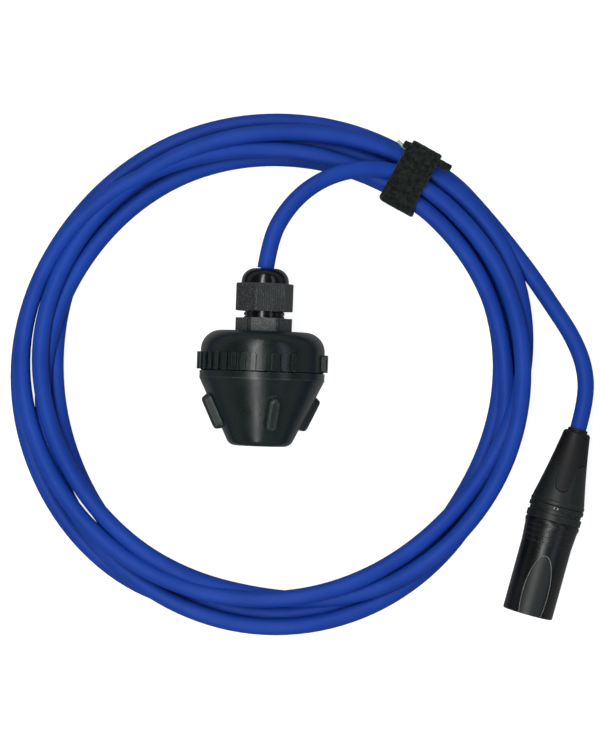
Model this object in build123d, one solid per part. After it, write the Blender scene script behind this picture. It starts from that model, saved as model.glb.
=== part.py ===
from build123d import *
import math
import os

# Hydrophone on a coiled blue microphone cable that ends in a male three-pin XLR plug.
# Row frame, in mm: the hydrophone lies on its side, its axis along +Y with the gland at +Y.
# The origin is under the middle of the hydrophone, on the surface it lies on. +Z is up.
#
# Every turned group is drawn on its own upright axis and laid down afterwards:
# the hydrophone from its flat end (0) to the gland's cap, the plug from its mouth (0) to the boot's tip.

# Hydrophone housing
HOUSING_R = 23.45
DOME_R = 23.25
END_R = 11.4
END_ROUND = 3.5
CONE_TOP = 24.9
SEAM = 25.3
COLLAR_TOP = 27.7
COLLAR_GROOVE = 0.5
DOME_TOP = 43.0
DOME_ROUND = 7.4
WALL = 2.6
SPIGOT_R = 20.4
SPIGOT_LOW = 22.6
RUN_GAP = 0.1
BOARD_THICK = 1.6
BOARD_TOP = 29.6

# Plain grip ribs round the dome, none of them underneath: each group's first angle and its number of ribs
RIB_R = 24.6
RIB_LOW = COLLAR_TOP + COLLAR_GROOVE
RIB_HEIGHT = 6.5
RIB_WIDTH = 1.7
RIB_STEP = 9
RIB_GROUPS = ((-88, 14), (74, 10))

# Fins on the cone, with sloping sides
FIN_PROUD = 2.9
FIN_SUNK = 1.6
FIN_WIDTH = 6.2
FIN_LENGTH = 15.4
FIN_MIDDLE = 12.8
FIN_DRAFT = 17
FIN_ROUND = 1.1
FIN_FIRST = 14.5

# Cable gland, PG9 size
NUT_FLATS = 19.0
BODY_FLATS = 19.2
GASKET_THICK = 0.9
BODY_HEX_TOP = 47.9
NUT_LOW = 50.5
NUT_HEX_TOP = 60.9
CAP_R = 8.9
GLAND_TOP = 66.6
GLAND_THREAD_R = 7.6
NUT_BORE_R = 4.7
NUT_TURN = 13
LOCKNUT_FLATS = 22.0
LOCKNUT_LOW = 35.3

# Cable
CABLE_R = 3.15
CORE_R = 0.75
JACKET_END = 34.0

# Plug, standard three-pin XLR size
SHELL_R = 9.6
SHELL_TOP = 36.4
PANEL_DEEP = 0.4
MOUTH_R = 8.05
REAR_BORE_R = 8.6
INSERT_FACE = 12.5
INSERT_BACK = 27.5
PIN_R = 1.2
PIN_SHOULDER_R = 1.45
PIN_CIRCLE_R = 4.45
PIN_ANGLES = (38, 142, 270)
PIN_TIP = 1.0
PIN_BACK = 31.5
RING_LOW = 36.5
RING_TOP = 42.3
BOOT_FLANGE_R = 10.5
BOOT_LOW = 42.4
BOOT_CONE = 44.6
BOOT_TOP = 71.5
BOOT_TIP_R = 5.05
LIP_TOP = 72.6
PLUG_JACKET_END = 37.0
# The sleeve's wavy lower edge: half of one of its three hard tongues, and the angles that they face
TONGUE_ANGLES = (55, 175, 295)
TONGUE_LOW = 47.9
TONGUE_HALF = [(8.1, TONGUE_LOW), (7.1, 48.5), (5.4, 52.0), (4.3, 55.5), (2.7, 58.5), (0, 59.4)]

# Where things lie
AXIS_Z = HOUSING_R
PLUG_MOUTH = (103.6, -93.6, BOOT_FLANGE_R)
PLUG_LEAN = 13.4

# Coil
COIL_MID = (3.75, -6.2)
COIL_IN_R = 80.5
COIL_OUT_R = 103.5
COIL_HEIGHT = 17.6
COIL_ROUND = 6.0
COIL_PINCH = 26.0

# Strap round the coil
STRAP_ANGLE = 56.7
STRAP_MID_R = 90.8
STRAP_TWIST = 6.4
STRAP_WIDTH = 13.4
STRAP_LONG = 25.2
STRAP_HEIGHT = 15.5
STRAP_THICK = 1.3
STRAP_ROUND = 4.5
HEAD_OUT = 11.2
HEAD_BAR = 3.0
HEAD_DEPTH = 7.0
HEAD_WIDTH = 19.4
HEAD_ASIDE = -1.2
HEAD_THICK = 1.2
END_OVER = 0.6

# The cable's free stretches, from the gland to the coil and from the coil to the boot
LEAD_ROUTE = [
    (0, 33.3, 23.45), (1.4, 44.3, 23.5), (6.1, 54.3, 23.0), (13.4, 63.0, 21.3),
    (23.1, 69.3, 19.0), (34.4, 72.6, 16.4), (45.2, 72.5, 13.6),
]
TAIL_ROUTE = [
    (70.2, 69.6, 3.3), (81.2, 58.4, 3.2), (91.6, 46.8, 3.3), (101.4, 34.9, 3.2),
    (109.8, 23.2, 3.9), (117.3, 12.4, 6.4), (122.2, 1.0, 9.3),
]


def outline(points):
    """A closed flat face from (radius, height) points, in the plane of the axis."""
    return Plane.XZ * make_face(Polyline(*points, close=True))


def turned(points):
    """A solid of revolution about the upright axis."""
    return revolve(outline(points), axis=Axis.Z)


def tube(r_out, r_in, low, high):
    return turned([(r_in, low), (r_out, low), (r_out, high), (r_in, high)])


def rod(radius, low, high):
    return turned([(0, low), (radius, low), (radius, high), (0, high)])


def hexagon(flats, low, high, turn=0.0, chamfer_r=0.0):
    """A hexagonal bar with one flat facing -Y before it is turned, and turned-down corners."""
    bar = Pos(0, 0, low) * extrude(RegularPolygon(flats / 2, 6, major_radius=False, rotation=turn),
                                   high - low)
    corner = flats / math.sqrt(3)
    if chamfer_r:
        drop = (corner - chamfer_r) * 0.6
        bar = bar & turned([(0, low), (chamfer_r, low), (corner + 0.1, low + drop),
                            (corner + 0.1, high - drop), (chamfer_r, high), (0, high)])
    return bar


def link(start, end, radius):
    """A straight round wire between two points."""
    line = Line(start, end)
    return sweep(Plane(origin=start, z_dir=line @ 1 - line @ 0) * Circle(radius), path=line)


def facing(height, sketch):
    """A sketch stood upright on the axis at a height, looking along -Y."""
    return Plane.XZ * Pos(0, height) * sketch


def radial(angle, shape):
    """Turns a shape that was made facing -Y, which is up once laid down, to an angle about the axis."""
    return Rot(0, 0, angle) * shape


def lay_hydrophone(shape):
    """From the upright hydrophone axis to the row frame: up the axis becomes +Y, -Y becomes up."""
    return Pos(0, -GLAND_TOP / 2, AXIS_Z) * Rot(-90, 0, 0) * shape


def lay_plug(shape):
    """From the upright plug axis to the row frame."""
    return Pos(*PLUG_MOUTH) * Rot(0, 0, -PLUG_LEAN) * Rot(-90, 0, 0) * shape


# ---- Hydrophone housing ----

def cone_radius(height):
    return END_R + (HOUSING_R - END_R) * height / CONE_TOP


def fin():
    """A rib with round ends, sloping sides and a rounded edge, standing square on the cone."""
    slope = math.atan2(HOUSING_R - END_R, CONE_TOP)
    out = (0, -math.cos(slope), -math.sin(slope))
    foot = Plane(origin=(0, -cone_radius(FIN_MIDDLE), FIN_MIDDLE), x_dir=(1, 0, 0), z_dir=out).offset(-FIN_SUNK)
    slot = foot * SlotOverall(FIN_LENGTH, FIN_WIDTH, rotation=90)
    shape = extrude(slot, FIN_SUNK + FIN_PROUD, taper=FIN_DRAFT)
    face = shape.faces().sort_by(Axis((0, 0, 0), out))[-1]
    return fillet(face.edges(), FIN_ROUND)


def lower_housing():
    profile = outline([(0, 0), (END_R, 0), (HOUSING_R, CONE_TOP), (HOUSING_R, SEAM),
                       (SPIGOT_R + RUN_GAP, SEAM), (SPIGOT_R + RUN_GAP, SPIGOT_LOW - 0.1),
                       (19.0, SPIGOT_LOW - 0.1), (10.2, WALL), (0, WALL)])
    edge = [v for v in profile.vertices() if abs(v.X - END_R) < 0.01 and abs(v.Z) < 0.01]
    shell = revolve(fillet(edge, END_ROUND), axis=Axis.Z)
    cavity = turned([(0, WALL), (10.2, WALL), (19.0, SPIGOT_LOW - 0.1), (0, SPIGOT_LOW - 0.1)])
    for quarter in range(4):
        shell += radial(FIN_FIRST + 90 * quarter, fin()) - cavity
    return shell


def grip_rib():
    """A raised upright bar with round ends, facing -Y."""
    bar = facing(RIB_LOW + RIB_HEIGHT / 2, SlotOverall(RIB_HEIGHT, RIB_WIDTH, rotation=90))
    band = tube(RIB_R, DOME_R - 1, RIB_LOW, RIB_LOW + RIB_HEIGHT)
    return band & extrude(bar, RIB_R + 1)


def upper_housing():
    profile = outline([(SPIGOT_R, SPIGOT_LOW), (SPIGOT_R, SEAM), (HOUSING_R, SEAM), (HOUSING_R, COLLAR_TOP),
                       (DOME_R - 0.5, COLLAR_TOP), (DOME_R, COLLAR_TOP + COLLAR_GROOVE), (DOME_R, DOME_TOP), (GLAND_THREAD_R + RUN_GAP, DOME_TOP),
                       (GLAND_THREAD_R + RUN_GAP, DOME_TOP - 3), (14.0, DOME_TOP - 3), (17.0, DOME_TOP - 6),
                       (17.0, BOARD_TOP + 0.1), (18.6, BOARD_TOP + 0.1), (18.6, SPIGOT_LOW)])
    shoulder = [v for v in profile.vertices() if abs(v.X - DOME_R) < 0.01 and abs(v.Z - DOME_TOP) < 0.01]
    shell = revolve(fillet(shoulder, DOME_ROUND), axis=Axis.Z)
    shell -= tube(SPIGOT_R + 1, SPIGOT_R - 1.2, 23.2, 24.7)
    for first, count in RIB_GROUPS:
        for number in range(count):
            shell += radial(first + number * RIB_STEP, grip_rib())
    return shell


def housing_o_ring():
    section = Plane.XZ * Pos(SPIGOT_R - 0.52, 23.95) * Circle(0.6)
    return revolve(section, axis=Axis.Z)


def potting_block():
    return turned([(0, WALL + 0.02), (10.1, WALL + 0.02), (13.5, 10.3), (0, 10.3)])


def piezo_plate():
    return rod(13.4, 10.3, 10.8)


def piezo_ceramic():
    return rod(10.0, 10.8, 11.2)


def piezo_leads():
    """One lead from the ceramic and one from the plate, up to the board."""
    high = BOARD_TOP - BOARD_THICK - 0.1
    return [link((4, 2, 11.3), (6, 3, high), 0.5), link((-11.8, 0, 10.95), (-9, 3, high), 0.5)]


def preamp_board():
    board = rod(18.4, BOARD_TOP - BOARD_THICK, BOARD_TOP)
    return board - Pos(0, -18.4, BOARD_TOP) * Box(5, 3, 4)


def board_components():
    """A transistor, two capacitors, three resistors and a small chip, standing on the board."""
    top = BOARD_TOP
    transistor = Pos(9.5, 6, top) * extrude(Circle(2.4) & Pos(0, 0.9) * Rectangle(6, 4), 4.6)
    parts = [transistor]
    for x, y, radius, height in [(-9, -6, 3.2, 5.4), (9.5, -5.5, 2.5, 5.0)]:
        parts.append(Pos(x, y, 0) * rod(radius, top, top + height))
    for y in (9.0, 11.6, -12.4):
        parts.append(Pos(-1, y, top + 0.85) * Rot(0, 90, 0) * Cylinder(0.85, 6.0))
    parts.append(Pos(-9.5, 4.5, top + 0.9) * Box(5, 4, 1.8))
    return parts


def cable_in_gland():
    """The jacketed end that the gland grips."""
    return rod(CABLE_R, JACKET_END, GLAND_TOP)


def cores(low, high, spread, angles):
    """The cable's cores, fanned out from the end of its jacket."""
    wires = []
    for angle in angles:
        c = math.cos(math.radians(angle))
        s = math.sin(math.radians(angle))
        wires.append(link((1.6 * c, 1.6 * s, high - CORE_R), (spread * c, spread * s, low + CORE_R), CORE_R))
    return wires


# ---- Cable gland ----

def gland_gasket():
    """The rubber ring in the hexagon's underside."""
    return tube(8.8, GLAND_THREAD_R + RUN_GAP, DOME_TOP, DOME_TOP + GASKET_THICK)


def gland_body():
    """A hexagon with grooved corners, a thread below for the housing and one above for the nut."""
    low = DOME_TOP + 0.1
    body = hexagon(BODY_FLATS, low, BODY_HEX_TOP)
    for corner in range(6):
        body -= radial(30 + 60 * corner, Pos(0, -BODY_FLATS / math.sqrt(3), BODY_HEX_TOP) * Box(1.7, 2.1, 12))
    body -= rod(8.9, DOME_TOP, DOME_TOP + GASKET_THICK)
    body += rod(GLAND_THREAD_R, 34.6, 56.0)
    for height in (48.7, 50.2):
        body -= tube(GLAND_THREAD_R + 0.5, GLAND_THREAD_R - 0.45, height - 0.3, height + 0.3)
    body -= rod(4.2, 34.6, 49.5)
    body -= rod(5.9, 49.5, 56.0)
    return body


def gland_locknut():
    return hexagon(LOCKNUT_FLATS, LOCKNUT_LOW, DOME_TOP - 3, 0, 12.2) - rod(GLAND_THREAD_R, 30, 50)


def gland_seal():
    """The rubber sleeve that the nut squeezes onto the cable."""
    return turned([(3.45, 50.0), (5.6, 50.0), (5.6, 56.6), (6.6, 57.4), (6.6, 59.6), (5.2, 63.6), (3.45, 63.6)])


def nut_ribs():
    """The cutter for the fine ribs on every other facet."""
    cuts = []
    for facet in range(3):
        for rib in range(12):
            place = Pos((rib - 5.5) * 0.84, -NUT_FLATS / 2, (NUT_LOW + NUT_HEX_TOP) / 2)
            cuts.append(radial(NUT_TURN + 120 * facet, place * Box(0.4, 0.6, NUT_HEX_TOP - NUT_LOW + 1)))
    return cuts


def gland_nut():
    nut = hexagon(NUT_FLATS, NUT_LOW, NUT_HEX_TOP, NUT_TURN, 10.6)
    cap = outline([(0, NUT_HEX_TOP - 1), (CAP_R, NUT_HEX_TOP - 1), (CAP_R, GLAND_TOP), (0, GLAND_TOP)])
    rim = [v for v in cap.vertices() if abs(v.X - CAP_R) < 0.01 and abs(v.Z - GLAND_TOP) < 0.01]
    nut += revolve(fillet(rim, 5.2), axis=Axis.Z)
    nut -= turned([(0, NUT_LOW), (GLAND_THREAD_R + RUN_GAP, NUT_LOW), (GLAND_THREAD_R + RUN_GAP, 59.9),
                   (NUT_BORE_R, 65.2), (NUT_BORE_R, GLAND_TOP), (0, GLAND_TOP)])
    return nut - nut_ribs()


# ---- Plug ----

def panel_cutter():
    """A sunk arch on the shell's upper side, open at the mouth."""
    arch = Plane.XZ * (Pos(0, 8) * Ellipse(4.85, 15.2) & Pos(0, 12.5) * Rectangle(12, 25))
    rind = tube(SHELL_R + 1, SHELL_R - PANEL_DEEP, 0, 25)
    return rind & extrude(arch, SHELL_R + 2)


def plug_shell():
    shell = turned([(MOUTH_R, 0), (SHELL_R - 0.3, 0), (SHELL_R, 0.4), (SHELL_R, 27.4), (SHELL_R + 0.45, 33.4),
                    (SHELL_R + 0.85, 35.0), (SHELL_R + 0.85, SHELL_TOP - 0.7), (SHELL_R + 0.5, SHELL_TOP),
                    (REAR_BORE_R, SHELL_TOP), (REAR_BORE_R, 30.8), (MOUTH_R, 30.0)])
    for height in (27.6, 29.7, 31.8, 33.9):
        middle = SHELL_R + 0.1 + (height - 27.4) * 0.075
        shell -= turned([(middle + 1, height - 0.45), (middle - 0.2, height), (middle + 1, height + 0.45)])
    shell -= Pos(0, -MOUTH_R, 6.5) * Box(3.6, 1.2, 5.0)
    return shell - panel_cutter()


def plug_insert():
    block = rod(MOUTH_R - 0.02, INSERT_FACE, INSERT_BACK)
    for angle in PIN_ANGLES:
        block -= at_pin(angle) * rod(PIN_SHOULDER_R, INSERT_FACE, INSERT_BACK)
    block -= Pos(MOUTH_R, 0, 20) * Box(1.4, 3.2, 16)
    return block


def at_pin(angle):
    return Pos(PIN_CIRCLE_R * math.cos(math.radians(angle)), -PIN_CIRCLE_R * math.sin(math.radians(angle)), 0)


def plug_pin(angle):
    """A round-nosed contact with a solder cup at its back."""
    pin = turned([(0, PIN_TIP), (0.5, PIN_TIP), (0.95, PIN_TIP + 0.25), (PIN_R, PIN_TIP + 0.8),
                  (PIN_R, INSERT_FACE), (PIN_SHOULDER_R, INSERT_FACE), (PIN_SHOULDER_R, PIN_BACK),
                  (0.8, PIN_BACK), (0.8, PIN_BACK - 2.5), (0, PIN_BACK - 2.5)])
    return at_pin(angle) * pin


def ground_contact():
    """The spring strip between the insert and the shell."""
    return Pos(MOUTH_R - 0.35, 0, 20) * Box(0.35, 2.8, 12)


def coding_ring():
    """The ring between shell and boot: two flanges and a sunk band with plain raised pads."""
    ring = turned([(8.8, RING_LOW), (10.3, RING_LOW), (10.5, RING_LOW + 0.2), (10.5, 38.8), (10.3, 39.0),
                   (9.9, 39.0), (9.9, 40.6), (10.3, 40.6), (10.5, 40.8), (10.5, 42.1), (10.3, RING_TOP),
                   (8.8, RING_TOP)])
    band = tube(10.3, 9.8, 39.2, 40.4)
    for angle in range(0, 360, 60):
        ring += band & radial(angle, extrude(facing(39.8, RectangleRounded(3.0, 1.1, 0.4)), 12))
    return ring


def plug_chuck():
    """A slotted collet that grips the jacket."""
    collet = turned([(3.45, 38.0), (7.1, 38.0), (7.1, 44.0), (5.6, 49.0), (3.45, 49.0)])
    for angle in (0, 90):
        collet -= Rot(0, 0, angle) * Pos(0, 0, 46.5) * Box(16, 0.8, 6.0)
    return collet


def boot_radius(height):
    """The boot's slightly hollow taper."""
    down = BOOT_TOP - height
    return BOOT_TIP_R + 0.1457 * down + 0.00152 * down ** 2


def taper(low, high, inset=0.0):
    """Points up the boot's taper, a distance inside its skin."""
    steps = 6
    heights = [low + (high - low) * step / steps for step in range(steps + 1)]
    return [(boot_radius(height) - inset, height) for height in heights]


def sleeve_edge(grow):
    """The space below the sleeve's lower edge: a band with three round tongues."""
    space = rod(14, BOOT_CONE - 2, TONGUE_LOW + grow)
    half = [(x + grow, height + grow) for x, height in TONGUE_HALF[:-1]]
    points = half + [(0, TONGUE_HALF[-1][1] + grow)] + [(-x, height) for x, height in reversed(half)]
    half_foot = half[0][0]
    foot = Polyline(points[-1], (-half_foot, BOOT_CONE), (half_foot, BOOT_CONE), points[0])
    tongue = Plane.XZ * make_face([Spline(*points), foot])
    for angle in TONGUE_ANGLES:
        space += radial(angle, extrude(tongue, 14))
    return space


def plug_bushing():
    """The hard rear nut: threaded spigot, flange, and the cone with its tongues."""
    core = turned([(7.5, PIN_BACK), (REAR_BORE_R - RUN_GAP, PIN_BACK), (REAR_BORE_R - RUN_GAP, BOOT_LOW),
                   (BOOT_FLANGE_R - 0.4, BOOT_LOW), (BOOT_FLANGE_R - 0.15, 42.7), (BOOT_FLANGE_R - 0.15, 43.9),
                   (BOOT_FLANGE_R - 0.5, BOOT_CONE - 0.3), (boot_radius(BOOT_CONE), BOOT_CONE)]
                  + taper(BOOT_CONE, 62, 1.7) + [(4.0, 62), (4.0, 52), (7.5, 46)])
    skin = turned(taper(BOOT_CONE, 60.5) + taper(60.5, BOOT_CONE, 1.8))
    return core + (skin & sleeve_edge(-0.12))


def plug_boot_sleeve():
    """The rubber sleeve over the bushing, down to the cable."""
    sleeve = turned(taper(47.6, BOOT_TOP - 0.7) + [
        (BOOT_TIP_R - 0.6, BOOT_TOP), (3.8, BOOT_TOP), (3.8, LIP_TOP - 0.2), (3.6, LIP_TOP), (3.4, LIP_TOP),
        (3.4, 62.2)] + taper(62.2, 47.6, 1.6))
    return sleeve - sleeve_edge(0.12)


def cable_in_plug():
    return rod(CABLE_R, PLUG_JACKET_END, LIP_TOP)


# ---- Cable, coil and strap ----

def corner_radii(points):
    """The largest arc that each corner's runs allow, and a line for each in the printout."""
    radii = []
    for before, here, after in zip(points, points[1:], points[2:]):
        come = Vector(*here) - Vector(*before)
        go = Vector(*after) - Vector(*here)
        turn = math.radians(come.get_angle(go))
        shorter = min(come.length, go.length)
        radii.append(0.45 * shorter / math.tan(turn / 2))
        print(f"  run {come.length:5.1f}  turn {math.degrees(turn):5.1f}  radius {radii[-1]:7.1f}")
    return radii


def cable_run(points):
    """A round tube along straight runs joined by tangent arcs."""
    path = FilletPolyline(*points, radius=corner_radii(points))
    start = Plane(origin=path @ 0, z_dir=path % 0)
    tube_solid = sweep(start * Circle(CABLE_R), path=path)
    section = math.pi * CABLE_R ** 2
    print(f"  length {path.length:.1f}  volume {tube_solid.volume:.0f}  section x length {section * path.length:.0f}")
    return tube_solid


def tail_points():
    """The tail's route, which ends straight in line with the plug's axis at the boot's tip."""
    end = lay_plug(Pos(0, 0, LIP_TOP)).position
    before = lay_plug(Pos(0, 0, LIP_TOP + 12)).position
    return TAIL_ROUTE + [tuple(before), tuple(end)]


def at_strap(shape):
    """From a frame at the strap's middle, X outwards across the turns, to the strap's place."""
    return Pos(*COIL_MID, 0) * Rot(0, 0, STRAP_ANGLE) * Pos(STRAP_MID_R, 0, 0) * Rot(0, 0, STRAP_TWIST) * shape


def strap_section(grow, width):
    """A block of the strap's inner opening, made larger or smaller by grow on every side."""
    wide = STRAP_LONG - 2 * STRAP_THICK + 2 * grow
    high = STRAP_HEIGHT - 2 * STRAP_THICK + 2 * grow
    face = facing(STRAP_HEIGHT / 2, RectangleRounded(wide, high, STRAP_ROUND - STRAP_THICK + grow))
    return extrude(face, width / 2, both=True)


def strap_band():
    return at_strap(strap_section(STRAP_THICK, STRAP_WIDTH) - strap_section(0, STRAP_WIDTH + 1))


def strap_head():
    """The T-shaped head on top of the band, with its slot."""
    bar = Pos(-HEAD_BAR / 2, HEAD_ASIDE) * RectangleRounded(HEAD_BAR, HEAD_WIDTH, 0.6)
    stem = Pos(-HEAD_DEPTH / 2, 0) * Rectangle(HEAD_DEPTH, STRAP_WIDTH - 0.6)
    slot = Pos(-HEAD_BAR - 1.2, 0) * Rectangle(1.6, STRAP_WIDTH - 2.4)
    return at_strap(Pos(HEAD_OUT, 0, STRAP_HEIGHT + 0.05) * extrude(bar + stem - slot, HEAD_THICK))


def strap_end():
    """The end of the strap, folded back over the head and down onto the band."""
    low = STRAP_HEIGHT + 0.05
    over = low + HEAD_THICK + 0.05
    fold = STRAP_LONG / 2
    head_in = HEAD_OUT - HEAD_DEPTH
    profile = make_face(Polyline(
        (-fold - END_OVER, low), (head_in - 1.4, low), (head_in - 0.4, over), (HEAD_OUT + 0.2, over),
        (HEAD_OUT + 0.2, low), (fold, low), (fold, over + 0.5), (fold - 0.7, over + STRAP_THICK),
        (head_in - 0.9, over + STRAP_THICK), (head_in - 1.9, low + STRAP_THICK), (-fold - END_OVER, low + STRAP_THICK),
        close=True))
    return at_strap(extrude(Plane.XZ * profile, STRAP_WIDTH / 2, both=True))


def strap_tab():
    """The pale welded tab that shows beside the head."""
    plate = Rot(0, 0, 20) * extrude(RectangleRounded(1.3, 4.0, 0.4), 1.0)
    return at_strap(Pos(HEAD_OUT - 2.6, 10.9, STRAP_HEIGHT - 1.2) * plate)


def cable_coil():
    """The outer shape of the five turns, pinched to the strap's opening where it ties them."""
    section = Plane.XZ * Pos((COIL_IN_R + COIL_OUT_R) / 2, COIL_HEIGHT / 2)
    ring = revolve(section * RectangleRounded(COIL_OUT_R - COIL_IN_R, COIL_HEIGHT, COIL_ROUND), axis=Axis.Z)
    around = Pos(0, 0, COIL_HEIGHT / 2) * Box(60, COIL_PINCH, 60)
    return Pos(*COIL_MID, 0) * ring - at_strap(around - strap_section(-0.1, COIL_PINCH + 2))


def hydrophone_parts():
    return {
        "lower_housing": lower_housing(),
        "upper_housing": upper_housing(),
        "housing_o_ring": housing_o_ring(),
        "potting_block": potting_block(),
        "piezo_plate": piezo_plate(),
        "piezo_ceramic": piezo_ceramic(),
        "piezo_leads": piezo_leads(),
        "preamp_board": preamp_board(),
        "board_components": board_components(),
        "cable_in_gland": cable_in_gland(),
        "housing_cores": cores(BOARD_TOP, JACKET_END, 5.2, (90, 210, 330)),
        "gland_gasket": gland_gasket(),
        "gland_body": gland_body(),
        "gland_locknut": gland_locknut(),
        "gland_seal": gland_seal(),
        "gland_nut": gland_nut(),
    }


def plug_parts():
    parts = {
        "plug_shell": plug_shell(),
        "plug_insert": plug_insert(),
        "ground_contact": ground_contact(),
        "coding_ring": coding_ring(),
        "plug_chuck": plug_chuck(),
        "plug_bushing": plug_bushing(),
        "plug_boot_sleeve": plug_boot_sleeve(),
        "cable_in_plug": cable_in_plug(),
        "plug_cores": cores(PIN_BACK, PLUG_JACKET_END, PIN_CIRCLE_R, [-angle for angle in PIN_ANGLES]),
    }
    for number, angle in enumerate(PIN_ANGLES, start=1):
        parts[f"plug_pin_{number}"] = plug_pin(angle)
    return parts


def laid_parts():
    return {
        "cable_lead": cable_run(LEAD_ROUTE),
        "cable_coil": cable_coil(),
        "cable_tail": cable_run(tail_points()),
        "strap_band": strap_band(),
        "strap_head": strap_head(),
        "strap_end": strap_end(),
        "strap_tab": strap_tab(),
    }


def placed(shape, lay):
    if isinstance(shape, list):
        return Compound(children=[lay(piece) for piece in shape])
    return lay(shape)


def all_parts():
    parts = {name: placed(shape, lay_hydrophone) for name, shape in hydrophone_parts().items()}
    parts.update({name: placed(shape, lay_plug) for name, shape in plug_parts().items()})
    parts.update(laid_parts())
    return parts


os.makedirs("parts", exist_ok=True)
for part_name, part_shape in all_parts().items():
    export_step(part_shape, f"parts/{part_name}.step")
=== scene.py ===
import math
import random

import bmesh
import bpy
from mathutils import Matrix, Vector, noise


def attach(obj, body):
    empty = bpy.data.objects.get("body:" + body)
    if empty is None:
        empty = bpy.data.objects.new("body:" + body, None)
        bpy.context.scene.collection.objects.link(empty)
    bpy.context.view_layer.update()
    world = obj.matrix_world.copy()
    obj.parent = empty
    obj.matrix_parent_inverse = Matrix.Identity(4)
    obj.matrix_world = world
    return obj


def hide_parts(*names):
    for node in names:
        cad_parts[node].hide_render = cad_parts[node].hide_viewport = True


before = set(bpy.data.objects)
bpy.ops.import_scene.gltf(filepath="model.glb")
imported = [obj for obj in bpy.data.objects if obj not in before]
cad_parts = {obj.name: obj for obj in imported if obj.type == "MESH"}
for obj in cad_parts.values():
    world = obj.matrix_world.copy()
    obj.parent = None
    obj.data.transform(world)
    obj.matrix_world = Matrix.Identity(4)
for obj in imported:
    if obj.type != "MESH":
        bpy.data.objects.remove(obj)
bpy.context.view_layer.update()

MM = 0.001
CABLE_R = 3.15

# The cable's free stretches, from the gland to the coil and from the coil to the boot, in mm, as in the CAD
# source
LEAD_ROUTE = [
    (0, 33.3, 23.45), (1.4, 44.3, 23.5), (6.1, 54.3, 23.0), (13.4, 63.0, 21.3),
    (23.1, 69.3, 19.0), (34.4, 72.6, 16.4), (45.2, 72.5, 13.6),
]
TAIL_ROUTE = [
    (70.2, 69.6, 3.3), (81.2, 58.4, 3.2), (91.6, 46.8, 3.3), (101.4, 34.9, 3.2),
    (109.8, 23.2, 3.9), (117.3, 12.4, 6.4), (122.2, 1.0, 9.3), (123.2, -11.3, 10.5), (120.4, -23.0, 10.5),
]
COIL_MID = (3.75, -6.2)
TIE_ANGLE = 56.7
TIE_LIFT = 1.3
STEPS_A_TURN = 24
STEP = 360 // STEPS_A_TURN
# How far each turn runs from the coil's middle, in mm, every 30 degrees clockwise from the strap
TURN_RADII = [
    [91.2, 95.0, 95.0, 93.6, 90.6, 83.8, 83.3, 85.2, 88.8, 89.7, 90.4, 92.3],
    [97.5, 100.75, 94.0, 86.5, 84.5, 85.8, 89.0, 92.5, 95.9, 94.6, 88.2, 85.1],
    [84.9, 87.3, 89.4, 93.3, 96.0, 96.2, 93.8, 91.0, 86.6, 83.5, 83.0, 82.8],
    [84.9, 88.2, 87.3, 86.3, 90.9, 90.9, 87.1, 83.3, 83.4, 87.0, 88.5, 89.2],
    [91.3, 94.3, 94.3, 92.8, 89.4, 90.5, 96.3, 97.3, 97.3, 95.7, 96.3, 96.9],
]
AFTER_LAST = [98.0]
# The turn that lies on top of the others over two spans of angle, and how far the smooth line's control
# points stand outside it
TOP_TURN = 1
TOP_SPANS = ((118, 147), (262, 302))
CONTROL_OUT = 1.004

# The strap's own frame: X outwards across the turns, Y counter-clockwise along them, in mm
STRAP_MID_R = 90.8
STRAP_TWIST = 6.4
STRAP_HALF = 6.7
STRAP_ASIDE = 0.5

# The middle of the plug's mouth, and how far its axis leans from the frame's Y, as in the CAD source
PLUG_MOUTH = (103.6, -93.6, 10.5)
PLUG_LEAN = 13.4
SHELL_R = 9.6
SHELL_FLARE = 0.075
ARCH_HALF = 4.85
ARCH_LONG = 15.2
ARCH_MID = 8.0
GROOVES = (27.6, 29.7, 31.8, 33.9)
FLANGE_R = 10.5
FLANGE_MID = 41.45
# The hydrophone's axis: its lower end, and the thread that shows between the gland's hexagons
HYDROPHONE_END = (0, -33.3, 23.45)
CONE_LOW_R = 11.4
CONE_HIGH_R = 23.45
CONE_HIGH = 24.9
THREAD_R = 7.3
THREAD_LOW = 48.1
THREAD_TURNS = 5
THREAD_PITCH = 1.5


def smooth(a, b, c, d, t):
    """The place a part t of the way from b to c on a smooth line through a, b, c and d (Catmull-Rom)."""
    return b + 0.5 * t * (c - a + t * (2 * a - 5 * b + 4 * c - d + t * (3 * (b - c) + d - a)))


def between(values, position):
    """A smooth value between evenly spaced ones."""
    low = min(int(position), len(values) - 2)
    near = [values[max(0, min(len(values) - 1, low + k))] for k in (-1, 0, 1, 2)]
    return smooth(*near, position - low)


def lies_over(turn, angle):
    """A turn's rank in the pile at an angle, lowest first."""
    if turn == TOP_TURN and any(start < angle < end for start, end in TOP_SPANS):
        return len(TURN_RADII) + 1
    return len(TURN_RADII) - turn


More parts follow.
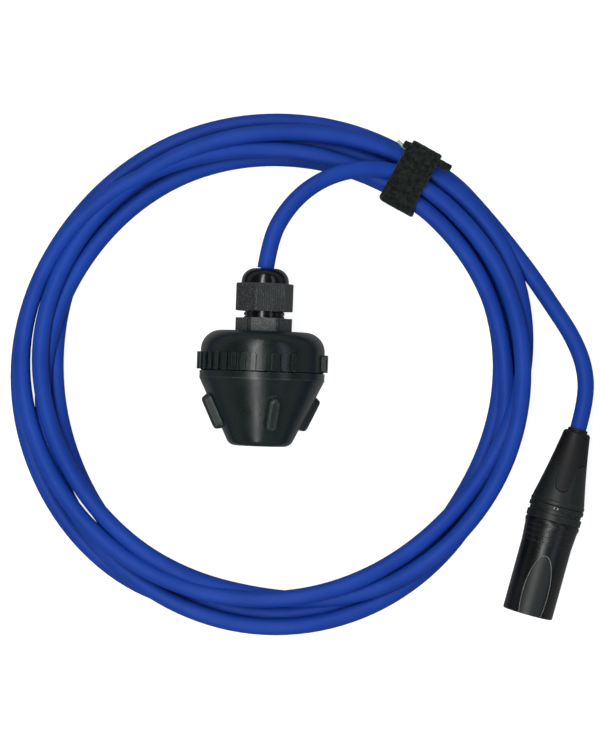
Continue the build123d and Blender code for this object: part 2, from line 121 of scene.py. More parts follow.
def coil_points():
    """The turns, each strand dropped onto those that lie below it at the same angle."""
    radii = [r for turn in TURN_RADII for r in turn] + AFTER_LAST
    count = len(TURN_RADII) * STEPS_A_TURN + 1
    radius = [between(radii, i / 2) for i in range(count)]
    height = [CABLE_R] * count
    for station in range(STEPS_A_TURN):
        angle = (TIE_ANGLE - STEP * station) % 360
        strands = sorted(range(station, count, STEPS_A_TURN),
                         key=lambda i: lies_over(i // STEPS_A_TURN, angle))
        for place, i in enumerate(strands):
            height[i] = CABLE_R + (TIE_LIFT if station == 0 else 0)
            for below in strands[:place]:
                apart = abs(radius[i] - radius[below])
                if apart < 2 * CABLE_R:
                    height[i] = max(height[i], height[below] + math.sqrt(4 * CABLE_R ** 2 - apart ** 2))
    for sweep in range(2):
        height = [height[0]] + [(height[i - 1] + 2 * height[i] + height[i + 1]) / 4
                                for i in range(1, count - 1)] + [height[-1]]
    points = []
    for i in range(count):
        angle = math.radians(TIE_ANGLE - STEP * i)
        points.append((COIL_MID[0] + radius[i] * CONTROL_OUT * math.cos(angle),
                       COIL_MID[1] + radius[i] * CONTROL_OUT * math.sin(angle), height[i]))
    return points


def cable_piece():
    """The whole free cable as one open smooth spline."""
    points = LEAD_ROUTE + coil_points() + TAIL_ROUTE
    curve = bpy.data.curves.new("cable", "CURVE")
    curve.dimensions = "3D"
    spline = curve.splines.new("NURBS")
    spline.points.add(len(points) - 1)
    for place, point in zip(spline.points, points):
        place.co = (point[0] * MM, point[1] * MM, point[2] * MM, 1)
    spline.order_u = 3
    spline.use_endpoint_u = True
    spline.resolution_u = 6
    curve.bevel_depth = CABLE_R * MM
    curve.bevel_resolution = 10
    curve.use_fill_caps = True
    piece = bpy.data.objects.new("cable", curve)
    bpy.context.scene.collection.objects.link(piece)
    return piece


# Materials. Lengths in the nodes are metres, and each piece's own coordinates are the frame's at rest.
class Look:
    """A material's node tree around one Principled shader, with short ways to add to it."""

    def __init__(self, name, colour, roughness, metallic=0.0, specular=0.5):
        self.material = bpy.data.materials.new(name)
        self.material.use_nodes = True
        self.tree = self.material.node_tree
        self.shader = self.tree.nodes["Principled BSDF"]
        self.set("Base Color", (*colour, 1))
        self.set("Roughness", roughness)
        self.set("Metallic", metallic)
        self.set("Specular IOR Level", specular)
        self.place = self.node("ShaderNodeTexCoord").outputs["Object"]
        self.relief = None

    def set(self, socket, value):
        self.shader.inputs[socket].default_value = value

    def node(self, kind, **settings):
        made = self.tree.nodes.new(kind)
        for name, value in settings.items():
            setattr(made, name, value)
        return made

    def link(self, source, target):
        self.tree.links.new(source, target)

    def place_in(self, origin, turn=0.0, scale=(1, 1, 1)):
        """X, Y and Z from an origin, in a frame turned by degrees about Z and in units of scale."""
        local = self.node("ShaderNodeMapping", vector_type="TEXTURE")
        local.inputs["Location"].default_value = origin
        local.inputs["Rotation"].default_value = (0, 0, math.radians(turn))
        local.inputs["Scale"].default_value = scale
        self.link(self.place, local.inputs["Vector"])
        apart = self.node("ShaderNodeSeparateXYZ")
        self.link(local.outputs["Vector"], apart.inputs["Vector"])
        return [apart.outputs[axis] for axis in "XYZ"]

    def noise(self, size, detail=2.0, rough=0.5):
        """A noise of that grain size in millimetres."""
        made = self.node("ShaderNodeTexNoise")
        made.inputs["Scale"].default_value = 1 / (size * MM)
        made.inputs["Detail"].default_value = detail
        made.inputs["Roughness"].default_value = rough
        self.link(self.place, made.inputs["Vector"])
        return made.outputs["Fac"]

    def span(self, source, low, high, to_low=0.0, to_high=1.0):
        """Maps low..high of a value to to_low..to_high, held at the ends."""
        made = self.node("ShaderNodeMapRange")
        for socket, value in zip(("From Min", "From Max", "To Min", "To Max"), (low, high, to_low, to_high)):
            made.inputs[socket].default_value = value
        self.link(source, made.inputs["Value"])
        return made.outputs["Result"]

    def math(self, operation, a, b):
        made = self.node("ShaderNodeMath", operation=operation)
        for socket, value in zip(made.inputs, (a, b)):
            if isinstance(value, (int, float)):
                socket.default_value = value
            else:
                self.link(value, socket)
        return made.outputs["Value"]

    def mix(self, factor, a, b):
        """A colour between a and b, each a colour or a socket."""
        made = self.node("ShaderNodeMix", data_type="RGBA")
        self.link(factor, made.inputs["Factor"])
        for socket, value in ((made.inputs[6], a), (made.inputs[7], b)):
            if isinstance(value, tuple):
                socket.default_value = (*value, 1)
            else:
                self.link(value, socket)
        return made.outputs[2]

    def edges(self, radius, low=0.02, high=0.25):
        """1 along edges that are sharper than the radius in millimetres, and 0 on smooth faces."""
        soft = self.node("ShaderNodeBevel", samples=4)
        soft.inputs["Radius"].default_value = radius * MM
        true = self.node("ShaderNodeNewGeometry").outputs["Normal"]
        dot = self.node("ShaderNodeVectorMath", operation="DOT_PRODUCT")
        self.link(soft.outputs["Normal"], dot.inputs[0])
        self.link(true, dot.inputs[1])
        return self.span(self.math("SUBTRACT", 1.0, dot.outputs["Value"]), low, high)

    def corner_shade(self, reach):
        """1 in open places, and 0 deep in corners, seen over a reach in millimetres: an occlusion mask that
        the looks use to paint shade into corners.
        """
        made = self.node("ShaderNodeAmbientOcclusion", samples=6)
        made.inputs["Distance"].default_value = reach * MM
        return made.outputs["AO"]

    def bump(self, source, height, strength=1.0):
        made = self.node("ShaderNodeBump")
        made.inputs["Strength"].default_value = strength
        made.inputs["Distance"].default_value = height * MM
        self.link(source, made.inputs["Height"])
        if self.relief:
            self.link(self.relief, made.inputs["Normal"])
        self.relief = made.outputs["Normal"]
        self.link(self.relief, self.shader.inputs["Normal"])

    def colour(self, source):
        self.link(source, self.shader.inputs["Base Color"])

    def rough(self, source):
        self.link(source, self.shader.inputs["Roughness"])


def moulded(name, deep, pale, roughness, grain=0.45, relief=0.02, edge_wear_and_highlight=None, specular=0.5, edge=0.25,
            speckle=0.4, fleck=2.2):
    """A moulded plastic or rubber: fine grain and clouds of tone. Given an edge colour, sharp edges turn
    paler, partly wear and partly painted highlight, and painted shade darkens the corners.
    """
    look = Look(name, deep, roughness, specular=specular)
    fine = look.noise(grain, 3.0, 0.6)
    coarse = look.noise(grain * 2.6, 2.0)
    cloud = look.noise(11, 3.0)
    tone = look.mix(look.span(cloud, 0.35, 0.68), deep, pale)
    tone = look.mix(look.span(fine, 0.48, 0.75, 0, speckle), tone, tuple(min(1, fleck * c) for c in pale))
    if edge_wear_and_highlight:
        # Paler sharp edges: partly wear, partly a painted highlight along the edges
        rubbed_and_lit_edges = look.math("MULTIPLY", look.edges(edge), look.span(coarse, 0.38, 0.6, 0.45, 1.0))
        tone = look.mix(rubbed_and_lit_edges, tone, edge_wear_and_highlight)
        # Painted shade: corners and recesses darken towards a third of the deep tone, from an occlusion mask
        tone = look.mix(look.span(look.corner_shade(2.5), 0.25, 0.75), tuple(0.35 * c for c in deep), tone)
    look.colour(tone)
    look.rough(look.span(look.math("ADD", fine, cloud), 0.7, 1.3, roughness - 0.07, roughness + 0.09))
    look.bump(coarse, relief * 1.6, 0.6)
    look.bump(fine, relief)
    return look


def metal(name, colour, roughness):
    """A plated or turned metal with fine marks and stains."""
    look = Look(name, colour, roughness, metallic=1.0)
    marks = look.noise(0.35, 4.0, 0.6)
    stains = look.noise(3.5, 3.0)
    look.colour(look.mix(look.span(stains, 0.35, 0.75), colour, tuple(0.72 * c for c in colour)))
    look.rough(look.span(look.math("ADD", marks, stains), 0.7, 1.4, roughness - 0.08, roughness + 0.14))
    look.bump(marks, 0.006)
    return look


def jacket():
    """The cable's soft blue sheath: nearly plain, with faint clouds, scuffs and a slightly uneven skin."""
    look = Look("cable_jacket_blue", (0.009, 0.047, 0.31), 0.5, specular=0.12)
    cloud = look.noise(22, 3.0)
    skin = look.noise(0.7, 2.0)
    scuff = look.noise(5, 4.0, 0.7)
    tone = look.mix(look.span(cloud, 0.35, 0.65), (0.0075, 0.041, 0.28), (0.0105, 0.052, 0.33))
    tone = look.mix(look.span(scuff, 0.62, 0.80, 0, 0.35), tone, (0.025, 0.085, 0.40))
    look.colour(tone)
    look.rough(look.span(look.math("ADD", scuff, skin), 0.75, 1.3, 0.44, 0.60))
    look.bump(look.noise(9, 2.0), 0.05, 0.5)
    look.bump(skin, 0.004, 0.5)
    return look


def fabric():
    """The strap's black loop pile."""
    look = Look("strap_black_loops", (0.007, 0.009, 0.0085), 0.95, specular=0.12)
    look.set("Sheen Weight", 0.16)
    look.set("Sheen Roughness", 0.5)
    look.set("Sheen Tint", (0.75, 0.85, 0.8, 1))
    pile = look.noise(0.35, 3.0, 0.7)
    clump = look.noise(1.6, 3.0)
    tone = look.mix(look.span(clump, 0.38, 0.66), (0.0025, 0.0035, 0.003), (0.0135, 0.018, 0.0165))
    look.colour(look.mix(look.span(pile, 0.58, 0.72, 0, 0.8), tone, (0.055, 0.065, 0.06)))
    look.bump(clump, 0.25, 0.7)
    look.bump(pile, 0.12)
    return look


def laminate(name, deep, pale):
    """A printed board, a crystal or a small component: a fine speckle and a soft gloss."""
    look = Look(name, deep, 0.35)
    speck = look.noise(0.5, 3.0, 0.65)
    look.colour(look.mix(look.span(speck, 0.35, 0.7), deep, pale))
    look.rough(look.span(speck, 0.3, 0.7, 0.28, 0.5))
    look.bump(speck, 0.01)
    return look


# The grain of the gland's hexagons, and their paler edges, partly wear and partly painted highlight
GLAND = dict(grain=0.8, relief=0.022, edge_wear_and_highlight=(0.11, 0.115, 0.115), specular=0.45, speckle=1.0, fleck=4.5)


def tint(look, inside, colour):
    """Gives the part of a surface where inside is 1 another colour."""
    look.colour(look.mix(inside, look.shader.inputs["Base Color"].links[0].from_socket, colour))


def dull(look, inside, roughness):
    """Gives the part of a surface where inside is 1 another roughness."""
    blend = look.node("ShaderNodeMix")
    look.link(inside, blend.inputs["Factor"])
    look.link(look.shader.inputs["Roughness"].links[0].from_socket, blend.inputs[2])
    uneven = look.span(look.noise(1.2, 2.0), 0.3, 0.7, roughness - 0.03, roughness + 0.04)
    look.link(uneven, blend.inputs[3])
    look.rough(blend.outputs[0])


def squares(look, a, b):
    """The sum of two values' squares."""
    return look.math("ADD", look.math("MULTIPLY", a, a), look.math("MULTIPLY", b, b))


def dull_fins(look, roughness, edge_wear_and_highlight):
    """Makes what stands proud of the hydrophone's cone duller than the cone, with paler edges, partly wear
    and partly a painted highlight.
    """
    x, y, z = look.place_in(Vector(HYDROPHONE_END) * MM)
    away = look.math("SQRT", squares(look, x, z), 0.0)
    cone = look.span(y, 0, CONE_HIGH * MM, CONE_LOW_R * MM, CONE_HIGH_R * MM)
    proud = look.span(look.math("SUBTRACT", away, cone), 0.1 * MM, 0.4 * MM)
    on_fin = look.math("MULTIPLY", proud, look.span(y, (CONE_HIGH - 1) * MM, CONE_HIGH * MM, 1, 0))
    dull(look, on_fin, roughness)
    patches = look.span(look.noise(0.9, 2.0), 0.35, 0.6, 0.3, 0.9)
    # Painted highlight: fin edges paler in patches, partly as wear
    rubbed_and_lit_edges = look.math("MULTIPLY", look.edges(1.6, 0.012, 0.07), patches)
    tint(look, look.math("MULTIPLY", on_fin, rubbed_and_lit_edges), edge_wear_and_highlight)


def part_polished(look, low, high, colour, roughness):
    """Makes a grained material smooth and dark where the frame's Y is between low and high, in mm."""
    along = look.place_in((0, 0, 0))[1]
    fade = 0.15
    inside = look.math("MULTIPLY", look.span(along, (low - fade) * MM, (low + fade) * MM),
                       look.span(along, (high - fade) * MM, (high + fade) * MM, 1, 0))
    tint(look, inside, colour)
    dull(look, inside, roughness)
    bump = look.shader.inputs["Normal"].links[0].from_node
    while bump:
        strength = bump.inputs["Strength"]
        look.link(look.span(inside, 0, 1, strength.default_value, 0.02), strength)
        under = bump.inputs["Normal"].links
        bump = under[0].from_node if under else None


def at_plug(along=0.0):
    """The plug's own frame: Y from the mouth to the cable, Z up, in mm."""
    return (Matrix.Translation(Vector(PLUG_MOUTH) * MM) @ Matrix.Rotation(math.radians(-PLUG_LEAN), 4, "Z")
            @ Matrix.Translation((0, along * MM, 0)) @ Matrix.Scale(MM, 4))


def arched(look, colour, roughness):
    """Makes the sunk arch on the plug's shell paler and duller than the rest."""
    x, y, z = look.place_in(at_plug(ARCH_MID).translation, -PLUG_LEAN, (ARCH_HALF * MM, ARCH_LONG * MM, 1))
    arch = look.math("MULTIPLY", look.span(squares(look, x, y), 0.97, 1.03, 1, 0), look.span(z, 0, MM))
    tint(look, arch, colour)
    dull(look, arch, roughness)


# In the looks below the edge colour paints sharp edges paler, partly as wear and partly as a painted
# highlight, and their corners get painted shade
housing_look = moulded("housing_plastic_satin", (0.0030, 0.0068, 0.0060), (0.0050, 0.0100, 0.0090), 0.31,
                       grain=0.4, relief=0.003, edge_wear_and_highlight=(0.095, 0.125, 0.114), specular=0.40)
dull_fins(housing_look, 0.52, (0.085, 0.110, 0.100))
shell_look = moulded("plug_metal_black", (0.0022, 0.0026, 0.0027), (0.0042, 0.0048, 0.0050), 0.34,
                     grain=0.5, relief=0.0015, edge_wear_and_highlight=(0.085, 0.095, 0.092), specular=0.40, edge=0.22,
                     speckle=0.3)
arched(shell_look, (0.0085, 0.0108, 0.0102), 0.46)
# The arch bead's pale colour: partly rub, partly a painted highlight along the arch's edge
rubbed_and_lit_look = moulded("plug_metal_rubbed_and_highlit", (0.10, 0.11, 0.106), (0.17, 0.18, 0.176), 0.36, relief=0.002)
# Each material slot's look
LOOKS = {
    "housing_plastic": housing_look,
    "gland_plastic": moulded("gland_plastic_grained", (0.011, 0.0125, 0.0125), (0.018, 0.020, 0.020), 0.46,
                             **GLAND),
    "seal_rubber": moulded("seal_rubber_matt", (0.010, 0.010, 0.010), (0.016, 0.016, 0.016), 0.70,
                           relief=0.03, specular=0.3),
    "potting_resin": moulded("potting_resin_black", (0.035, 0.032, 0.032), (0.06, 0.055, 0.055), 0.25,
                             relief=0.01),
    "plate_brass": metal("plate_brass_turned", (0.72, 0.50, 0.20), 0.32),
    "ceramic": laminate("ceramic_buff", (0.52, 0.46, 0.36), (0.62, 0.57, 0.46)),
    "board_laminate": laminate("board_laminate_green", (0.012, 0.11, 0.04), (0.02, 0.17, 0.06)),
    "component_case": laminate("component_case_grey", (0.03, 0.03, 0.033), (0.06, 0.06, 0.064)),
    "core_insulation": moulded("core_insulation_red", (0.45, 0.05, 0.04), (0.60, 0.08, 0.06), 0.45,
                               relief=0.01),
    "cable_jacket": jacket(),
    "plug_metal": shell_look,
    "plug_plastic": moulded("plug_plastic_black", (0.0070, 0.0088, 0.0083), (0.0105, 0.0128, 0.0120), 0.44,
                            relief=0.004, edge_wear_and_highlight=(0.10, 0.11, 0.105), specular=0.32, edge=0.22),
    "plug_rubber": moulded("plug_rubber_charcoal", (0.0040, 0.0040, 0.0042), (0.0065, 0.0065, 0.0068), 0.54,
                           grain=0.5, relief=0.008, edge_wear_and_highlight=(0.05, 0.052, 0.05), specular=0.24, speckle=0.8,
                           fleck=3.0),
    "contact_gold": metal("contact_gold_plated", (0.95, 0.68, 0.28), 0.22),
    "strap_fabric": fabric(),
    "strap_tab_plastic": moulded("strap_tab_grey", (0.30, 0.30, 0.27), (0.42, 0.42, 0.38), 0.5, relief=0.03),
}

# The nut's dome and the body's threaded neck are polished, from and to a Y in mm, and their hexagons grained
BLACK_GLOSS = (0.0020, 0.0025, 0.0026)
NUT_DOME = (27.65, 34.5)
BODY_NECK = (14.8, 30.0)
nut_look = moulded("gland_nut_grained_and_polished", (0.011, 0.0125, 0.0125), (0.018, 0.020, 0.020), 0.46,
                   **GLAND)
part_polished(nut_look, *NUT_DOME, BLACK_GLOSS, 0.19)
body_look = moulded("gland_body_grained_and_polished", (0.020, 0.0225, 0.0225), (0.030, 0.033, 0.033), 0.46,
                    **GLAND)
part_polished(body_look, *BODY_NECK, BLACK_GLOSS, 0.22)
ONE_PIECE = {"gland_nut": nut_look, "gland_body": body_look}

for name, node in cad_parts.items():
    look = ONE_PIECE.get(name) or LOOKS[node.data.materials[0].name]
    node.data.materials.clear()
    node.data.materials.append(look.material)


# The strap
def at_strap():
    """The strap's own frame, in mm."""
    mid = math.radians(TIE_ANGLE)
    return (Matrix.Translation(Vector((COIL_MID[0] + STRAP_MID_R * math.cos(mid),
                                       COIL_MID[1] + STRAP_MID_R * math.sin(mid), 0)) * MM)
            @ Matrix.Rotation(mid + math.radians(STRAP_TWIST), 4, "Z")
            @ Matrix.Translation((0, STRAP_ASIDE * MM, 0)) @ Matrix.Scale(MM, 4))


def even(points, spacing, closed):
    """Points at an even spacing along a smooth line through the given ones."""
    count = len(points)
    last = count if closed else count - 1
    parts = 12
    fine = []
    for i in range(last):
        near = [points[(i + k) % count] if closed else points[max(0, min(count - 1, i + k))]
                for k in (-1, 0, 1, 2)]
        for part in range(parts):
            fine.append(smooth(*near, part / parts))
    fine.append(points[0] if closed else points[-1])
    run = [0]
    for a, b in zip(fine, fine[1:]):
        run.append(run[-1] + (b - a).length)
    steps = max(4, round(run[-1] / spacing))
    made = []
    at = 0
    for k in range(steps if closed else steps + 1):
        goal = run[-1] * k / steps
        while at < len(fine) - 2 and run[at + 1] < goal:
            at += 1
        span = run[at + 1] - run[at]
        made.append(fine[at].lerp(fine[at + 1], 0 if span == 0 else min(1, (goal - run[at]) / span)))
    return made, run[-1]


def join_rings(mesh, rings, closed=False):
    """Faces from each ring of points to the next, and from the last to the first if closed."""
    for a, b in zip(rings, rings[1:] + rings[:1] if closed else rings[1:]):
        for k in range(len(a)):
            beside = (k + 1) % len(a)
            mesh.faces.new((a[k], a[beside], b[beside], b[k]))


def strip(mesh, points, across, half, thick, closed=False, corner=0.0, sides=None, spacing=0.32):
    """A flat strap with soft edges along a line, half wide to each side along the vector across.
    sides gives how far its low and high edges stand out at a point."""
    line, length = even(points, spacing, closed)
    cells = max(6, round(2 * half / spacing))
    last = len(line) - 1
    rings = []
    for i, point in enumerate(line):
        before = line[i - 1 if closed else max(i - 1, 0)]
        after = line[(i + 1) % len(line) if closed else min(i + 1, last)]
        normal = (after - before).cross(across).normalized()
        end = min(i, last - i) * length / last
        wide = half
        if not closed and end < corner:
            wide = half - corner + math.sqrt(corner ** 2 - (corner - end) ** 2)
        more_low, more_high = sides(point) if sides else (0.0, 0.0)
        ring = []
        for side, order in ((1, range(cells + 1)), (-1, range(cells - 1, 0, -1))):
            for k in order:
                y = (2 * k / cells - 1) * wide
                rim = wide - abs(y) if closed else min(wide - abs(y), end)
                full = thick / 2 * math.sqrt(max(0.0, 1 - (1 - min(1, rim / (0.8 * thick))) ** 2))
                t = k / cells
                y += more_high * t - more_low * (1 - t)
                ring.append(mesh.verts.new(point + across * y + normal * side * full))
        rings.append(ring)
    join_rings(mesh, rings, closed)
    if not closed:
        bmesh.ops.remove_doubles(mesh, verts=rings[0] + rings[-1], dist=1e-5)


def roughen(mesh, amount, size):
    """Moves the surface in and out by a noise, in mm."""
    mesh.normal_update()
    moves = [(v, v.normal * amount * (noise.noise(v.co / size) + 0.5 * noise.noise(v.co / size * 2.3)))
             for v in mesh.verts]
    for v, move in moves:
        v.co += move
        v.co.z = max(v.co.z, 0.03)


def loop_pile(mesh, count, seed, keep):
    """Small loops of yarn that stand on the surface where keep allows, each a bent three-sided thread."""
    draw = random.Random(seed)
    mesh.faces.ensure_lookup_table()
    faces = [f for f in mesh.faces if keep(f)]
    steps = 5
    sunk = 0.06
    for _ in range(count):
        face = draw.choice(faces)
        normal = face.normal.copy()
        root = face.calc_center_median() + Vector([draw.uniform(-0.15, 0.15) for axis in range(3)])
        lean = Vector([draw.gauss(0, 1) for axis in range(3)])
        along = (lean - normal * lean.dot(normal)).normalized()
        wide = draw.uniform(0.16, 0.38)
        high = draw.uniform(0.14, 0.36)
        thread = draw.uniform(0.035, 0.055)
        tilt = along.cross(normal) * draw.uniform(-0.5, 0.5)
        rings = []
        for k in range(steps + 1):
            turn = math.pi * k / steps
            middle = root + along * wide * math.cos(turn) + (normal + tilt) * high * math.sin(turn)
            middle -= normal * sunk
            out = along * math.cos(turn) + normal * math.sin(turn)
            flat = along.cross(normal)
            ring = [mesh.verts.new(middle + thread * (out * math.cos(a) + flat * math.sin(a)))
                    for a in (0, 2 * math.pi / 3, 4 * math.pi / 3)]
            for v in ring:
                v.co.z = max(v.co.z, 0.02)
            rings.append(ring)
        join_rings(mesh, rings)


def mesh_piece(name, mesh, at, slot_name, look=None):
    """Makes an object of a mesh built in mm in the frame at."""
    bmesh.ops.recalc_face_normals(mesh, faces=mesh.faces)
    mesh.transform(at)
    data = bpy.data.meshes.new(name)
    mesh.to_mesh(data)
    mesh.free()
    data.materials.append((look or LOOKS[slot_name]).material)
    for face in data.polygons:
        face.use_smooth = True
    piece = bpy.data.objects.new(name, data)
    bpy.context.scene.collection.objects.link(piece)
    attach(piece, "root")
    return piece


def strap_piece(name, mesh, node, slot_name="strap_fabric"):
    """A piece of the strap that stands for a CAD node."""
    piece = mesh_piece(name, mesh, at_strap(), slot_name)
    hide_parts(node)
    return piece


# The strap frame's directions along and across the turns
ALONG = Vector((0, 1, 0))
OUT = Vector((1, 0, 0))


def flat_line(*points):
    """Points of a line in the strap frame's XZ plane."""
    return [Vector((x, 0, z)) for x, z in points]


def eased(value, start, end):
    """0 before start, 1 after end, and a smooth rise between them."""
    t = max(0.0, min(1.0, (value - start) / (end - start)))
    return t * t * (3 - 2 * t)


def strap_band():
    """The closed band around the turns."""
    mesh = bmesh.new()
    strip(mesh, flat_line(
        (-7.5, 14.75), (-2.5, 14.85), (2.5, 14.85), (7.5, 14.75), (10.4, 13.5), (11.5, 11.0), (11.75, 7.8),
        (11.5, 4.4), (10.4, 1.9), (7.5, 0.72), (2.5, 0.68), (-2.5, 0.68), (-7.5, 0.72), (-10.4, 1.9),
        (-11.6, 4.4), (-11.9, 7.8), (-11.6, 11.0), (-10.4, 13.5)), ALONG, STRAP_HALF - 0.1, 1.1, closed=True,
        sides=lambda point: (1.5 * eased(-point.x, 7.0, 12.0), -1.0 * eased(-point.x, 7.0, 12.0)))
    roughen(mesh, 0.13, 0.9)
    loop_pile(mesh, 900, 11, lambda f: abs(f.calc_center_median().x) > 9 and f.calc_center_median().z > 2)
    return strap_piece("strap_band_woven", mesh, "strap_band")


def strap_end():
    """The strap's end, folded over the head and down onto the band."""
    mesh = bmesh.new()
    strip(mesh, flat_line(
        (12.30, 5.0), (12.42, 8.5), (12.45, 12.0), (12.5, 14.8), (12.35, 16.6), (11.5, 17.5), (9.5, 17.75),
        (6.0, 17.7), (3.8, 17.2), (2.0, 16.5), (-0.5, 16.25), (-4.5, 16.15), (-8.5, 16.05), (-11.4, 15.7),
        (-12.9, 15.05)), ALONG, STRAP_HALF, 1.1, corner=1.7,
        sides=lambda point: (0.0, -1.2 * eased(point.x, 8.5, 11.5)))
    roughen(mesh, 0.13, 0.9)
    loop_pile(mesh, 2600, 7, lambda f: f.normal.z > 0.3 or f.normal.x > 0.6 or abs(f.normal.y) > 0.6)
    return strap_piece("strap_end_folded", mesh, "strap_end")


def strap_head():
    """The strap's T-shaped head, of a bar and a short stem."""
    mesh = bmesh.new()
    bar = [Vector((10.0, y, 16.2 - 0.035 * abs(y + 1.2))) for y in (-12.0, -8.0, -4.0, 0, 4.0, 6.5, 8.3)]
    strip(mesh, bar, OUT, 1.5, 1.05, corner=0.55)
    strip(mesh, flat_line((4.2, 15.95), (6.0, 16.05), (8.5, 16.15)), ALONG, STRAP_HALF - 0.3, 0.9, corner=0.5)
    roughen(mesh, 0.09, 0.9)
    loop_pile(mesh, 420, 3, lambda f: f.normal.z > 0.2 and abs(f.calc_center_median().y) > STRAP_HALF - 0.4)
    return strap_piece("strap_head_t_bar", mesh, "strap_head")


def strap_tab():
    """The pale pointed tab, welded to the head."""
    mesh = bmesh.new()
    points = ((8.6, 6.0, 15.2), (8.9, 7.6, 15.3), (9.4, 9.2, 15.2), (9.85, 10.8, 15.0))
    line = [Vector(point) for point in points]
    across = Vector((0.96, -0.28, 0))
    strip(mesh, line, across, 0.62, 0.9, corner=0.6, spacing=0.14)
    roughen(mesh, 0.04, 0.8)
    return strap_piece("strap_tab_welded", mesh, "strap_tab", "strap_tab_plastic")


strap = [strap_band(), strap_end(), strap_head(), strap_tab()]


# Raised details on the turned parts
def on_round(radius, along, angle):
    """A point on a cylinder around the local Y axis, its angle taken from the top towards +X."""
    return Vector((radius * math.sin(angle), along, radius * math.cos(angle)))


def bead(mesh, points, radius, closed=False, sides=6):
    """A round bead along points that lie on a cylinder around the local Y axis."""
    count = len(points)
    rings = []
    for i, point in enumerate(points):
        before = points[i - 1] if closed or i else point
        after = points[(i + 1) % count] if closed or i < count - 1 else point
        along = (after - before).normalized()
        side = along.cross(Vector((point.x, 0, point.z))).normalized()
        out = side.cross(along)
        rings.append([mesh.verts.new(point + radius * (side * math.cos(turn) + out * math.sin(turn)))
                      for turn in (2 * math.pi * k / sides for k in range(sides))])
    join_rings(mesh, rings, closed)
    if not closed:
        mesh.faces.new(rings[0])
        mesh.faces.new(rings[-1])


def gland_thread():
    """The crest of the gland body's upper thread."""
    mesh = bmesh.new()
    steps = 48
    bead(mesh, [on_round(THREAD_R, THREAD_LOW + THREAD_PITCH * k / steps, 2 * math.pi * k / steps)
                for k in range(THREAD_TURNS * steps + 1)], 0.33, sides=8)
    at = Matrix.Translation(Vector(HYDROPHONE_END) * MM) @ Matrix.Scale(MM, 4)
    return mesh_piece("gland_thread_crest", mesh, at, "gland_plastic", body_look)


def shell_arch():
    """The bead around the arch on the plug's shell, far paler than the shell: part rub, part painted
    highlight.
    """
    mesh = bmesh.new()
    reach = math.acos(-ARCH_MID / ARCH_LONG)
    steps = 48
    line = []
    for k in range(steps + 1):
        turn = reach * (2 * k / steps - 1)
        line.append(on_round(SHELL_R - 0.03, ARCH_MID + ARCH_LONG * math.cos(turn),
                             math.asin(ARCH_HALF * math.sin(turn) / SHELL_R)))
    bead(mesh, line, 0.15)
    return mesh_piece("plug_shell_arch", mesh, at_plug(), "plug_metal", rubbed_and_lit_look)


def shell_ridges():
    """The fine ridges just after the grooves on the plug's shell."""
    mesh = bmesh.new()
    steps = 64
    after = 0.42
    sunk = 0.02
    for groove in GROOVES:
        radius = SHELL_R + SHELL_FLARE * (groove - GROOVES[0]) - sunk
        line = [on_round(radius, groove + after, 2 * math.pi * k / steps) for k in range(steps)]
        bead(mesh, line, 0.17, closed=True)
    return mesh_piece("plug_shell_ridges", mesh, at_plug(), "plug_metal")


def index_strokes():
    """Two plain pale strokes on the coding ring's flange."""
    mesh = bmesh.new()
    for aside in (-1.75, -0.45):
        bead(mesh, [on_round(FLANGE_R - 0.1, FLANGE_MID + 0.45 * end, (aside + 0.12 * end) / FLANGE_R)
                    for end in (-1, 0, 1)], 0.2)
    return mesh_piece("plug_index_strokes", mesh, at_plug(), "strap_tab_plastic")


gland_thread()
plug_details = [shell_arch(), shell_ridges(), index_strokes()]

cable = cable_piece()
cable.data.materials.append(LOOKS["cable_jacket"].material)
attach(cable, "root")
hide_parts("cable_lead", "cable_coil", "cable_tail")

# The stage
FLOOR_HALF = 3
floor_corners = [(FLOOR_HALF * x, FLOOR_HALF * y, 0) for x, y in ((-1, -1), (1, -1), (1, 1), (-1, 1))]
floor_mesh = bpy.data.meshes.new("floor")
floor_mesh.from_pydata(floor_corners, [], [(0, 1, 2, 3)])
floor = bpy.data.objects.new("floor", floor_mesh)
bpy.context.scene.collection.objects.link(floor)
paper = Look("floor_white_paper", (0.30, 0.30, 0.30), 0.9, specular=0.1)
paper.set("Emission Color", (1, 1, 1, 1))
# The camera sees the paper as overexposed white, but the object gets only the light that paper throws back
seen = paper.node("ShaderNodeLightPath").outputs["Is Camera Ray"]
paper.link(paper.math("MULTIPLY", seen, 0.9), paper.shader.inputs["Emission Strength"])
floor.data.materials.append(paper.material)

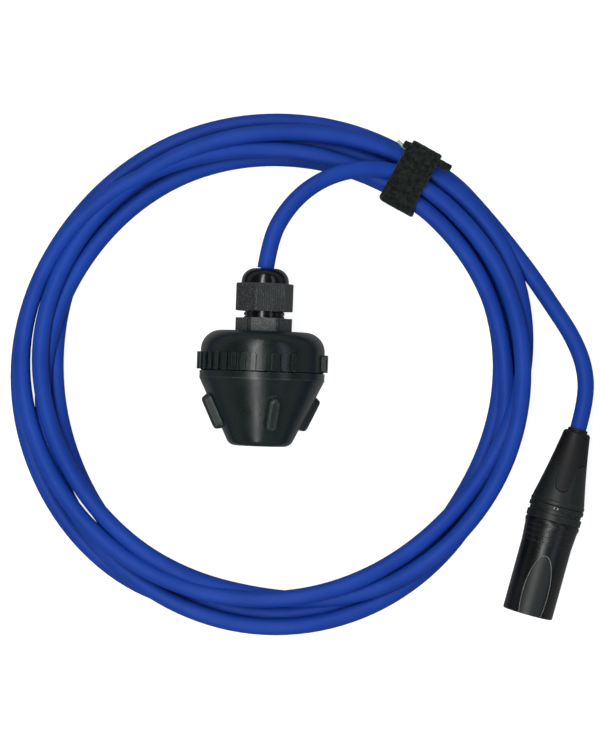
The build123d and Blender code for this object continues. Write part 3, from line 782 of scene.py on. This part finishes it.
# A light tent: brighter low down all round, dark overhead, and plain white where the camera sees it
world = bpy.data.worlds.new("studio")
bpy.context.scene.world = world
world.use_nodes = True
sky = world.node_tree
direction = sky.nodes.new("ShaderNodeTexCoord")
apart = sky.nodes.new("ShaderNodeSeparateXYZ")
tent = sky.nodes.new("ShaderNodeMapRange")
ray = sky.nodes.new("ShaderNodeLightPath")
brighter = sky.nodes.new("ShaderNodeMath")
brighter.operation = "MAXIMUM"
sky.links.new(direction.outputs["Generated"], apart.inputs["Vector"])
sky.links.new(apart.outputs["Z"], tent.inputs["Value"])
for socket, value in zip(("From Min", "From Max", "To Min", "To Max"), (0.05, 0.50, 0.45, 0.05)):
    tent.inputs[socket].default_value = value
tent.interpolation_type = "SMOOTHSTEP"
sky.links.new(ray.outputs["Is Camera Ray"], brighter.inputs[0])
sky.links.new(tent.outputs["Result"], brighter.inputs[1])
sky.nodes["Background"].inputs["Color"].default_value = (1, 1, 1, 1)
sky.links.new(brighter.outputs["Value"], sky.nodes["Background"].inputs["Strength"])


def area_light(name, at, size, power, colour=(1, 1, 1)):
    """A rectangular lamp that faces the frame's Y axis."""
    light = bpy.data.lights.new(name, "AREA")
    light.shape = "RECTANGLE"
    light.size, light.size_y = size
    light.energy = power
    light.color = colour
    lamp = bpy.data.objects.new(name, light)
    bpy.context.scene.collection.objects.link(lamp)
    lamp.location = at
    lamp.rotation_euler = (0, math.atan2(at[0], at[2]), 0)


area_light("strip_left", (-0.29, 0.0, 1.35), (0.22, 5.0), 44)
area_light("strip_right", (0.95, 0.0, 1.10), (0.30, 3.0), 6, (0.70, 0.82, 1.0))

bpy.context.scene.view_settings.view_transform = "Standard"

camera = bpy.data.objects.new("camera", bpy.data.cameras.new("camera"))
bpy.context.scene.collection.objects.link(camera)
bpy.context.scene.camera = camera
# Straight down, turned a little, and as wide on the floor as the longer side of the view, in metres
CAMERA_HIGH = 1.1
CAMERA_TURN = 2.0
FLOOR_SEEN = 0.28725
SENSOR = 36
camera.location = (0.01425, -0.0062, CAMERA_HIGH)
camera.rotation_euler = (0, 0, math.radians(CAMERA_TURN))
camera.data.sensor_width = SENSOR
camera.data.lens = SENSOR * CAMERA_HIGH / FLOOR_SEEN
camera.data.clip_start = 0.01
